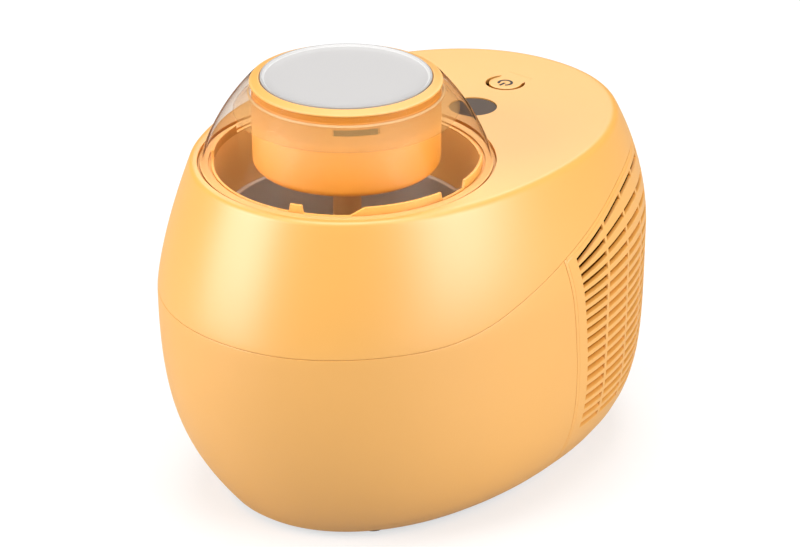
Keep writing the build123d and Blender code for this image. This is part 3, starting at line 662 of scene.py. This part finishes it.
def buildDrum():
    # profile spun in steps of one degree, with the points of the slot moved toward the axis
    d = drumLook
    r, (lipR, lipLow, lipTop), (endR, endZ), (easeR, easeZ) = d["radius"], d["lip"], d["shoulder"], d["ease"]
    corners = [(0, d["low"]), (r, d["low"]), (r, lipLow), (lipR, lipLow), (lipR, lipTop), (r - easeR, lipTop + easeZ),
               (endR, endZ), (endR - easeR, d["seat"]), (0, d["seat"])]
    profile = softCorners(corners, d["corners"])
    aim, half, gripLow, gripTop, gripDeep = d["grip"]
    at = np.argmax(profile[:, 1] > gripTop)
    levels = [gripLow, gripLow + d["gripSlope"], gripTop - d["gripSlope"], gripTop, d["shade"]]
    profile = np.concatenate([profile[:at], [(r, z) for z in levels], profile[at:]])
    points, faces = spinSurface(profile, 360, closed=False)
    off = np.abs((np.arange(360) - aim + 180) % 360 - 180)
    sink = np.zeros(points.shape[:2])
    sink[at + 1:at + 3] = gripDeep * (off < half)
    out = (points - (0, domeY, 0)) * (1, 1, 0)
    out /= np.maximum(np.linalg.norm(out, axis=-1, keepdims=True), d["leastRadius"])
    points = points - out * sink[..., None]
    drum = makePiece("headDrum", points, faces, drumShadedYellow, "lid", ["head_drum"])
    # rows from the slot upwards: slot (painted black shade), plain wall, deep band (painted shade), ring
    zone = np.zeros((len(profile) - 1, 360), np.int32)
    zone[at + 4:] = 2
    zone[at + 6:] = 3
    zone[at:at + 3] = (off < half) & (np.roll(off, -1) < half)
    paintFaces(drum, [slotShadeBlack, paintedShadeOrange, bodyYellow], zone)


# cap: narrow rim round a shallow dish
capLook = {"radius": 53.4, "top": 55.7, "rim": 1.2, "dish": 1.8, "slope": (0.9, 0.5), "flat": 5.0, "highlightWidth": 2.2,
           "corners": (0, 0.3, 0.5, 0.4, 0.6, 2.5, 0), "around": 160}


def buildCap():
    # closed below by the drum's seat; the slope into the dish is painted paler as a highlight and the outer rim painted
    # darker as shade
    d, seat = capLook, drumLook["seat"]
    dish, low = d["radius"] - d["rim"], d["top"] - d["dish"]
    corners = [(0, seat), (d["radius"], seat), (d["radius"], d["top"]), (dish, d["top"]),
               (dish - d["slope"][0], low + d["slope"][1]), (dish - d["flat"], low), (0, low)]
    profile = softCorners(corners, d["corners"], 8)
    points, faces = spinSurface(profile, d["around"], closed=False)
    cap = makePiece("headCap", points, faces, capWhite, "lid", ["head_cap"])
    r, z = ((profile[:-1] + profile[1:]) / 2).T
    # zone 1, the slope into the dish, is painted highlight; zone 2, the outer rim, is painted shade
    zone = np.where(r > dish, 2, np.where((r > dish - d["highlightWidth"]) & (z > low), 1, 0))
    paintFaces(cap, [capSlopeHighlight, capOuterShade], np.repeat(zone, d["around"]))


buildDome()
buildSkirt()
buildLugs()
buildDrum()
buildCap()
print("lid built")

# collar: throat, seat flange and the stepped top edge of the bayonet
collarLook = {"top": 83.0, "foot": 80.0, "wall": 2.0, "depth": 40.0, "rise": -1.4, "band": 3.6, "seat": -2.2,
              "flange": 93.5, "flangeLow": -5.2, "corners": (0.8, 0, 0, 0.3, 0.4, 0.2, 0.5, 0.7), "throatTop": -2.5,
              "around": 720,
              "liftFrom": (0.25, 0.1),   # over the seat, past the wall
              # from, to and both ramps in degrees
              "steps": ((-42, -7, 6, 0.6), (-73, -68, 0.6, 0.6), (9, 38, 0.6, 0.6))}


def buildCollar():
    # closed profile carried round the axis, its top rows lifted over the angles of the bayonet steps
    d = collarLook
    turn = np.linspace(0, 2 * np.pi, d["around"], endpoint=False)
    deg = np.degrees(turn)[None, :]
    lift = np.zeros_like(deg)
    for start, end, rampIn, rampOut in d["steps"]:
        for turnOver in (0, 180):
            off = (deg - (start + end) / 2 - turnOver + 180) % 360 - 180
            half = (end - start) / 2
            lift = np.maximum(lift, np.clip(np.minimum((off + half) / rampIn + 1, (half - off) / rampOut + 1), 0, 1))
    r, back = d["top"], d["top"] + d["wall"]
    corners = [(d["foot"], -d["depth"]), (d["foot"] + d["wall"], -d["depth"]), (back, d["flangeLow"]),
               (d["flange"], d["flangeLow"]), (d["flange"], d["seat"]), (back, d["seat"]), (back, d["rise"]),
               (r, d["rise"])]
    profile = softCorners(corners, d["corners"])
    profile = np.concatenate([profile, profile[:1]])
    radius, z = profile[:, :1], profile[:, 1:]
    up = (z > d["seat"] + d["liftFrom"][0]) * (radius < back + d["liftFrom"][1])
    z = deckZ + z + up * lift * (d["band"] - d["rise"])
    points = np.stack(np.broadcast_arrays(radius * np.cos(turn), domeY + radius * np.sin(turn), z), -1)
    faces = gridFaces(len(profile), len(turn), True)
    piece = makePiece("lidCollar", points, faces, collarShadedYellow, "body", ["lid_collar"], weld=True)
    # faces low in the throat get the lighter copy as painted light, the rest the darker copy as painted shade
    paintFaces(piece, [throatLitYellow], faceHeights(piece) < deckZ + d["throatTop"])


buildCollar()
print("collar built")

# bowl and gasket, radii from the dome axis and heights over the deck
bowlLook = {"rim": 79.0, "radius": 77.4, "draft": 1.6, "wall": 1.5, "top": -37.9, "depth": 112.0, "lip": 1.8,
            "corners": (0, 8, 0, 0.6, 0.8, 1.2, 6.5, 0)}
gasketLook = {"inner": 86.6, "outer": 92.0, "low": -2.2, "top": -0.9, "round": 0.4}


def buildBowl():
    # thin wall with a rolled lip and a round corner at the floor
    d = bowlLook
    floor, lipLow, foot = d["top"] - d["depth"], d["top"] - d["lip"], d["radius"] - d["draft"]
    corners = [(0, floor - d["wall"]), (foot, floor - d["wall"]), (d["radius"], lipLow), (d["rim"], lipLow),
               (d["rim"], d["top"]), (d["radius"] - d["wall"], d["top"]), (foot - d["wall"], floor), (0, floor)]
    points, faces = spinSurface(softCorners(corners, d["corners"], 8), closed=False)
    makePiece("bowl", points, faces, bowlMetal, "bowl", ["bowl"], weld=True)


def buildGasket():
    # flat ring with soft corners
    d = gasketLook
    corners = [(d["inner"], d["low"]), (d["outer"], d["low"]), (d["outer"], d["top"]), (d["inner"], d["top"])]
    points, faces = spinSurface(softCorners(corners, (d["round"],) * 4))
    makePiece("lidGasket", points, faces, gasketTan, "gasket", ["lid_gasket"], weld=True)


# paddle: hub and stem on the dome axis, a framed blade to each side
paddleLook = {"hub": 9.0, "hubTop": -2.3, "hubLow": -46.3, "stem": 7.0, "low": -147.4,
              "corners": (0, 1, 0.8, 1.2, 1, 0), "begin": 4.0, "reach": 71.0, "height": 82.0, "bar": 10.5, "blade": 4.0,
              "soft": 0.6, "around": 72, "frameCorners": (7, 4)}   # outer, inner


def frameLoop(x0, x1, z0, z1):
    # bar section with soft edges carried round a rectangle with soft corners
    d = paddleLook
    centre = np.array([(x0 + x1) / 2, (z0 + z1) / 2])
    size = np.array([(x1 - x0) / 2, (z1 - z0) / 2])
    signs = np.array([(-1, -1), (1, -1), (1, 1), (-1, 1)])
    outer = softCorners(centre + signs * size, (d["frameCorners"][0],) * 4)
    inner = softCorners(centre + signs * (size - d["bar"]), (d["frameCorners"][1],) * 4)
    half, near, share = d["blade"] / 2, d["blade"] / 2 - d["soft"], d["soft"] / d["bar"]
    depth = np.array([-near, -half, -half, -near, near, half, half, near, -near])
    mix = np.array([0, share, 1 - share, 1, 1, 1 - share, share, 0, 0])
    xz = outer[None] + mix[:, None, None] * (inner - outer)[None]
    y = np.broadcast_to(domeY + depth[:, None], xz.shape[:2])
    return np.stack([xz[..., 0], y, xz[..., 1]], -1)


def buildPaddle():
    # hub and stem turned about the axis, and two framed blades
    d = paddleLook
    corners = [(0, d["low"]), (d["stem"], d["low"]), (d["stem"], d["hubLow"]), (d["hub"], d["hubLow"]),
               (d["hub"], d["hubTop"]), (0, d["hubTop"])]
    points, faces = spinSurface(softCorners(corners, d["corners"]), d["around"], closed=False)
    points = points.reshape(-1, 3)
    low = deckZ + d["low"]
    for side in (-1, 1):
        loop = frameLoop(*sorted((side * d["begin"], side * d["reach"])), low, low + d["height"])
        faces = np.concatenate([faces, gridFaces(*loop.shape[:2], True, len(points))])
        points = np.concatenate([points, loop.reshape(-1, 3)])
    makePiece("paddle", points, faces, paddleTan, "dasher", ["paddle"], weld=True)


# power key with its sign, flush with the deck
keyLook = {"radius": 11.0, "neckHalf": 9.5, "neck": 16.85, "thick": 2.4, "round": 0.5, "bevel": 0.15, "inset": 2.0,
           "softRun": 2.5, "signRadius": 4.3, "signWidth": 1.9, "signGap": 70, "signLift": 0.03, "signSteps": 60,
           "tick": (0.4, 6.2), "steps": (73, 6, 9)}   # round the front, along a side, along the rear


def keyOutline():
    # front arc of the key, then its neck to the rear, with how much of the soft edge each point gets
    d = keyLook
    r, half = d["radius"], d["neckHalf"]
    frontSteps, sideSteps, rearSteps = d["steps"]
    meet = math.acos(half / r)
    k = np.linspace(math.pi - meet, 2 * math.pi + meet, frontSteps)
    arc = np.stack([r * np.cos(k), r * np.sin(k)], -1)
    side = np.linspace(r * math.sin(meet), d["neck"], sideSteps)[1:, None]
    right = np.concatenate([np.full_like(side, half), side], 1)
    back = np.linspace(half, -half, rearSteps)[1:-1, None]
    rear = np.concatenate([back, np.full_like(back, d["neck"])], 1)
    left = np.concatenate([np.full_like(side, -half), side[::-1]], 1)
    line = np.concatenate([arc, right, rear, left])
    return line, np.clip((r * math.sin(meet) - line[:, 1]) / d["softRun"], 0, 1)


def buildKey():
    # rings of the outline from the underside over a soft edge to the middle of the top
    d = keyLook
    line, soft = keyOutline()
    full = np.ones_like(soft)
    toward = -line / np.linalg.norm(line, axis=1, keepdims=True)
    # inset, height, how much of both each point gets
    rings = [(0, -d["thick"], full), (0, -d["round"], soft), (d["bevel"], -d["bevel"], soft), (d["round"], 0, soft),
             (d["inset"], 0, full)]
    points = np.stack([np.column_stack([line + toward * (inset * share)[:, None] + (0, deckLook["keyY"]),
                                        deckZ + z * share]) for inset, z, share in rings])
    count = len(line)
    faces = gridFaces(len(rings), count, True).tolist()
    faces.append((np.arange(count) + (len(rings) - 1) * count).tolist())
    faces.append(np.arange(count)[::-1].tolist())
    key = makePiece("powerKey", points, faces, bodyYellow, "key", ["power_key"], sharp=50)
    # the side of the key, down into its groove, is painted deep orange as the groove's shade
    paintFaces(key, [paintedShadeOrange], np.arange(len(faces)) < 2 * count)


def buildSign():
    # open ring and a tick toward the dome, printed on the key
    d = keyLook
    gap, half, height = math.radians(d["signGap"]) / 2, d["signWidth"] / 2, deckZ + d["signLift"]
    t = np.linspace(-math.pi / 2 + gap, 1.5 * math.pi - gap, d["signSteps"])[None, :]
    r = np.array([d["signRadius"] - half, d["signRadius"] + half])[:, None]
    ring = np.stack(np.broadcast_arrays(r * np.cos(t), deckLook["keyY"] + r * np.sin(t), height + 0 * t), -1)
    near, far = d["tick"]
    tick = np.array([[-half, -far, 0], [-half, -near, 0], [half, -far, 0], [half, -near, 0]])
    tick = tick + np.array([0, deckLook["keyY"], height])
    points = np.concatenate([ring.reshape(-1, 3), tick])
    faces = np.concatenate([gridFaces(*ring.shape[:2])[:, ::-1], gridFaces(2, 2, False, ring.size // 3)])
    makePiece("powerSign", points, faces, signBrown, "key")


# badge: shallow crowned disc in its hole
badgeLook = {"play": 0.3, "sunk": 0.15, "fall": 0.5, "power": 6, "rings": 14, "around": 72}


def buildBadge():
    # height falls with a power of the share of the radius
    d = badgeLook
    x, y, r = deckLook["badge"]
    share = np.linspace(0, 1, d["rings"])[:, None]
    turn = np.linspace(0, 2 * np.pi, d["around"], endpoint=False)[None, :]
    rad = (r - d["play"]) * share
    z = deckZ - d["sunk"] - d["fall"] * share ** d["power"]
    points = np.stack(np.broadcast_arrays(x + rad * np.cos(turn), y + rad * np.sin(turn), z + 0 * turn), -1)
    faces = gridFaces(d["rings"], d["around"], True)
    makePiece("deckBadge", points, faces, badgeDark, "body", ["deck_badge"], weld=True)


buildBowl()
buildGasket()
buildPaddle()
buildKey()
buildSign()
buildBadge()
print("bowl, gasket, paddle, key and badge built")

# pieces kept from the frame get their own finish
keptFinish = {
    "cord_gland": blackPlastic, "base_plate": blackPlastic, "leg_screws": zincSteel, "feet": rubberBlack,
    "control_board": boardGreen, "key_switch": blackPlastic, "well": spunMetal, "evaporator_jacket": copperCoil,
    "insulation": foamCream, "well_support": blackPlastic, "compressor": blackEnamel, "grommets": rubberBlack,
    "fan_bracket": zincSteel, "fan_frame": blackPlastic, "fan_rotor": blackPlastic, "condenser": spunMetal,
    "drive_motor": zincSteel, "drive_spindle": zincSteel,
}
for name, finish in keptFinish.items():
    nodes[name].data.materials.clear()
    nodes[name].data.materials.append(finish)
print("kept pieces finished")

# floor, light and camera, in metres
stageLook = {"floor": 8.0, "floorTone": (0.4, 0.4, 0.4, 1), "floorRoughness": 0.7, "floorMirror": 0.3,
             "floorLift": 0.62, "fade": (0.7, 1.8), "worldLight": 0.42, "worldSeen": 1.0, "worldMirror": 1.0,
             "lampAim": (0, 0, 0.15), "lens": 126.0, "sensor": 36, "clip": (0.05, 50),
             "eye": (1.0526, -1.2770, 0.9270), "look": (-0.57443, 0.69273, -0.4362)}
# place, width, height, power
lampLook = {"left": ((-0.72, -1.38, 0.7), 1.05, 1.25, 26), "right": ((1.52, 0.13, 0.7), 0.95, 1.25, 23.3),
            "top": ((0.1, -0.1, 1.8), 1.3, 1.3, 20.5), "back": ((-0.95, 1.25, 1.5), 1.2, 0.8, 13)}


def plainView(t, mirrored):
    # one for rays from the camera and through clear plastic, a share for mirrored ones, none for light on things
    path = t.nodes.new("ShaderNodeLightPath")
    first = t.nodes.new("ShaderNodeMath")
    first.operation = "MAXIMUM"
    share = t.nodes.new("ShaderNodeMath")
    share.operation = "MULTIPLY_ADD"
    share.inputs[1].default_value = mirrored
    t.links.new(path.outputs["Is Camera Ray"], first.inputs[0])
    t.links.new(path.outputs["Is Transmission Ray"], first.inputs[1])
    t.links.new(path.outputs["Is Glossy Ray"], share.inputs[0])
    t.links.new(first.outputs["Value"], share.inputs[2])
    return share.outputs["Value"]


def buildFloor():
    # pale floor that shows as white, lifted more and more with the distance from the middle
    d = stageLook
    half = d["floor"]
    mesh = bpy.data.meshes.new("floor")
    mesh.from_pydata([(-half, -half, 0), (half, -half, 0), (half, half, 0), (-half, half, 0)], [], [(0, 1, 2, 3)])
    floor = bpy.data.objects.new("floor", mesh)
    scene.collection.objects.link(floor)
    m = bpy.data.materials.new("paleFloor")
    m.use_nodes = True
    t = m.node_tree
    p = t.nodes["Principled BSDF"]
    p.inputs["Base Color"].default_value = d["floorTone"]
    p.inputs["Roughness"].default_value = d["floorRoughness"]
    p.inputs["Emission Color"].default_value = (1, 1, 1, 1)
    where = t.nodes.new("ShaderNodeTexCoord")
    away = t.nodes.new("ShaderNodeVectorMath")
    away.operation = "LENGTH"
    far = t.nodes.new("ShaderNodeMapRange")
    far.inputs["From Min"].default_value, far.inputs["From Max"].default_value = d["fade"]
    far.inputs["To Min"].default_value = d["floorLift"]
    lift = t.nodes.new("ShaderNodeMath")
    lift.operation = "MULTIPLY"
    t.links.new(where.outputs["Object"], away.inputs[0])
    t.links.new(away.outputs["Value"], far.inputs["Value"])
    t.links.new(far.outputs["Result"], lift.inputs[0])
    t.links.new(plainView(t, d["floorMirror"]), lift.inputs[1])
    t.links.new(lift.outputs["Value"], p.inputs["Emission Strength"])
    mesh.materials.append(m)


def buildLight():
    # even world light that shows as white, soft area lamps
    d = stageLook
    world = bpy.data.worlds.new("studio")
    scene.world = world
    world.use_nodes = True
    t = world.node_tree
    strength = t.nodes.new("ShaderNodeMapRange")
    strength.inputs["To Min"].default_value = d["worldLight"]
    strength.inputs["To Max"].default_value = d["worldSeen"]
    t.links.new(plainView(t, d["worldMirror"]), strength.inputs["Value"])
    t.links.new(strength.outputs["Result"], t.nodes["Background"].inputs["Strength"])
    for name, (place, width, height, power) in lampLook.items():
        lamp = bpy.data.lights.new(name, "AREA")
        lamp.shape = "RECTANGLE"
        lamp.size = width
        lamp.size_y = height
        lamp.energy = power
        o = bpy.data.objects.new(name, lamp)
        o.location = place
        o.rotation_mode = "QUATERNION"
        o.rotation_quaternion = (Vector(d["lampAim"]) - Vector(place)).to_track_quat("-Z", "Y")
        scene.collection.objects.link(o)


def buildCamera():
    # long lens from the front right, a little above
    d = stageLook
    eye = bpy.data.cameras.new("eye")
    eye.lens = d["lens"]
    eye.sensor_width = d["sensor"]
    eye.clip_start, eye.clip_end = d["clip"]
    cam = bpy.data.objects.new("eye", eye)
    cam.location = d["eye"]
    cam.rotation_mode = "QUATERNION"
    cam.rotation_quaternion = Vector(d["look"]).to_track_quat("-Z", "Y")
    scene.collection.objects.link(cam)
    scene.camera = cam
    scene.view_settings.view_transform = "Standard"


buildFloor()
buildLight()
buildCamera()
print("stage built")
